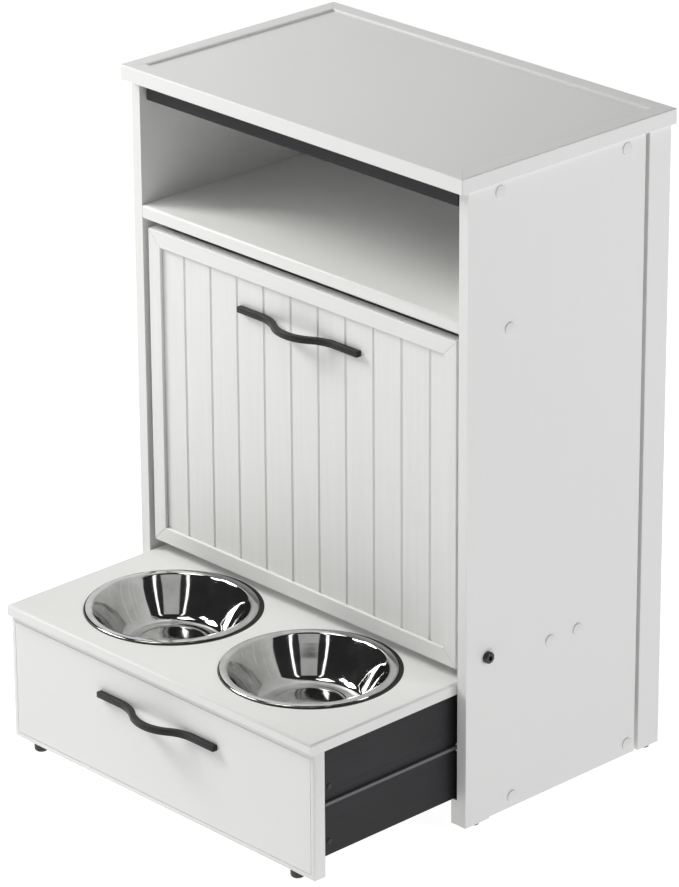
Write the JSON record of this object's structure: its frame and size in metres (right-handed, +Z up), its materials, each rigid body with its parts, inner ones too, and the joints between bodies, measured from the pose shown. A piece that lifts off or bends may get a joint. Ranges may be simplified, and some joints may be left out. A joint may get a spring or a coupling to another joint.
{
  "type": "pet food bin",
  "caption": "White floor cabinet with a beaded tilt-out food bin, an open shelf compartment above it and a pull-out drawer below that carries steel feeding bowls.",
  "frame": {"origin": "on the floor, under the middle of the whole assembly's box with the drawer pulled out", "axes": "+X to the viewer's right along the front, -Y out of the front, +Z up"},
  "size_m": [0.604, 0.6175, 0.852],
  "materials": {
    "white_board": "white painted, satin",
    "anthracite_board": "anthracite painted, satin",
    "black_metal": "matt black powder coat",
    "black_bolt": "black, satin",
    "screw_steel": "zinc plated",
    "white_cap": "white, satin",
    "white_plastic": "white, satin",
    "light_grey_strip": "light grey, satin",
    "nylon": "natural nylon",
    "black_plastic": "black, satin",
    "black_rubber": "matt",
    "bowl_steel": "polished stainless"
  },
  "bodies": {
    "case": {"back_panel": "white_board", "case_screws": "screw_steel", "cover_caps": "white_cap", "floor_glides": "black_plastic", "guide_channel_left": "white_plastic", "guide_channel_right": "white_plastic", "pivot_bolts": "black_bolt", "pivot_nuts": "screw_steel", "pivot_spacers": "nylon", "rear_batten_left": "white_board", "rear_batten_right": "white_board", "rear_post_left": "white_board", "rear_post_right": "white_board", "runner_cleat_left": "white_board", "runner_cleat_right": "white_board", "shelf": "white_board", "side_panel_left": "white_board", "side_panel_right": "white_board", "stop_block_left": "white_board", "stop_block_right": "white_board", "stretcher": "white_board", "top_batten_left": "anthracite_board", "top_batten_right": "anthracite_board", "top_panel": "white_board", "top_rail_back": "anthracite_board", "top_rail_front": "anthracite_board", "top_rim_back": "white_board", "top_rim_front": "white_board", "top_rim_left": "white_board", "top_rim_right": "white_board"},
    "bin": {"bin_back": "white_board", "bin_bottom": "white_board", "bin_frame_bottom": "white_board", "bin_frame_left": "white_board", "bin_frame_right": "white_board", "bin_frame_top": "white_board", "bin_front_panel": "white_board", "bin_handle": "black_metal", "bin_handle_screws": "screw_steel", "bin_side_left": "white_board", "bin_side_right": "white_board", "pivot_bushes": "nylon"},
    "drawer": {"bowl_gaskets": "black_rubber", "drawer_back": "anthracite_board", "drawer_corner_block_left": "anthracite_board", "drawer_corner_block_right": "anthracite_board", "drawer_feet": "black_plastic", "drawer_front": "white_board", "drawer_handle": "black_metal", "drawer_handle_screws": "screw_steel", "drawer_side_left": "anthracite_board", "drawer_side_right": "anthracite_board", "drawer_side_screws": "screw_steel", "drawer_top_board": "white_board", "guide_strip_left": "light_grey_strip", "guide_strip_right": "light_grey_strip"},
    "bowl_left": {"bowl_left": "bowl_steel"},
    "bowl_right": {"bowl_right": "bowl_steel"}
  },
  "joints": [
    {"name": "bin_tilt", "type": "hinge", "parent": "case", "child": "bin", "pos_m": [0, -0.00628, 0.224], "axis": [1, 0, 0], "range_deg": [0, 22.5]},
    {"name": "drawer_slide", "type": "slide", "parent": "case", "child": "drawer", "axis": [0, -1, 0], "range_m": [-0.218, 0]},
    {"name": "bowl_left_lift", "type": "slide", "parent": "drawer", "child": "bowl_left", "axis": [0, 0, 1], "range_m": [0, 0.0015]},
    {"name": "bowl_right_lift", "type": "slide", "parent": "drawer", "child": "bowl_right", "axis": [0, 0, 1], "range_m": [0, 0.0015]}
  ]
}
